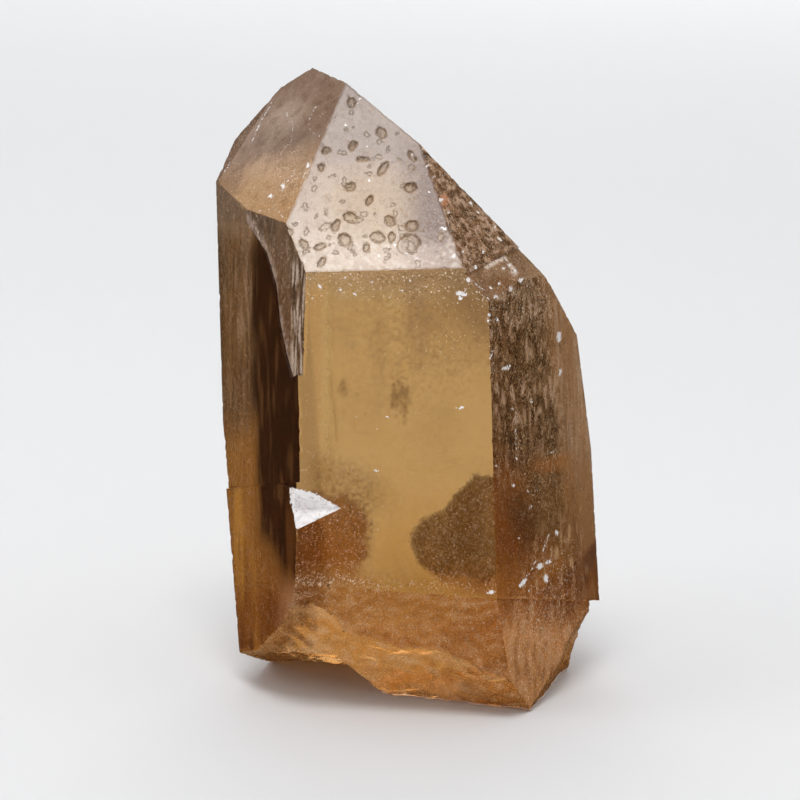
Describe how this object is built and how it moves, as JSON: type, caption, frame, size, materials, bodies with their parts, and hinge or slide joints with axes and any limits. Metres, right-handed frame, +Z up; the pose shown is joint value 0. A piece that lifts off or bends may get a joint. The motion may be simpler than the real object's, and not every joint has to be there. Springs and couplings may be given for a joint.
{
  "type": "citrine crystal",
  "caption": "Smoky golden quartz crystal, a broad prism with a slanting point and a rough broken base, standing on the flat of that base.",
  "frame": {"origin": "middle of the bounding box at the level of the flat that the crystal stands on", "axes": "+Z up, along the crystal's long axis to within about 4 degrees; the broad clear prism face looks towards -Y; +X is to the right seen from there"},
  "size_m": [0.0623, 0.0506, 0.0917],
  "materials": {
    "citrine": "natural crystal faces, glassy to frosted"
  },
  "bodies": {
    "root": {"citrine_crystal": "citrine"}
  },
  "joints": []
}
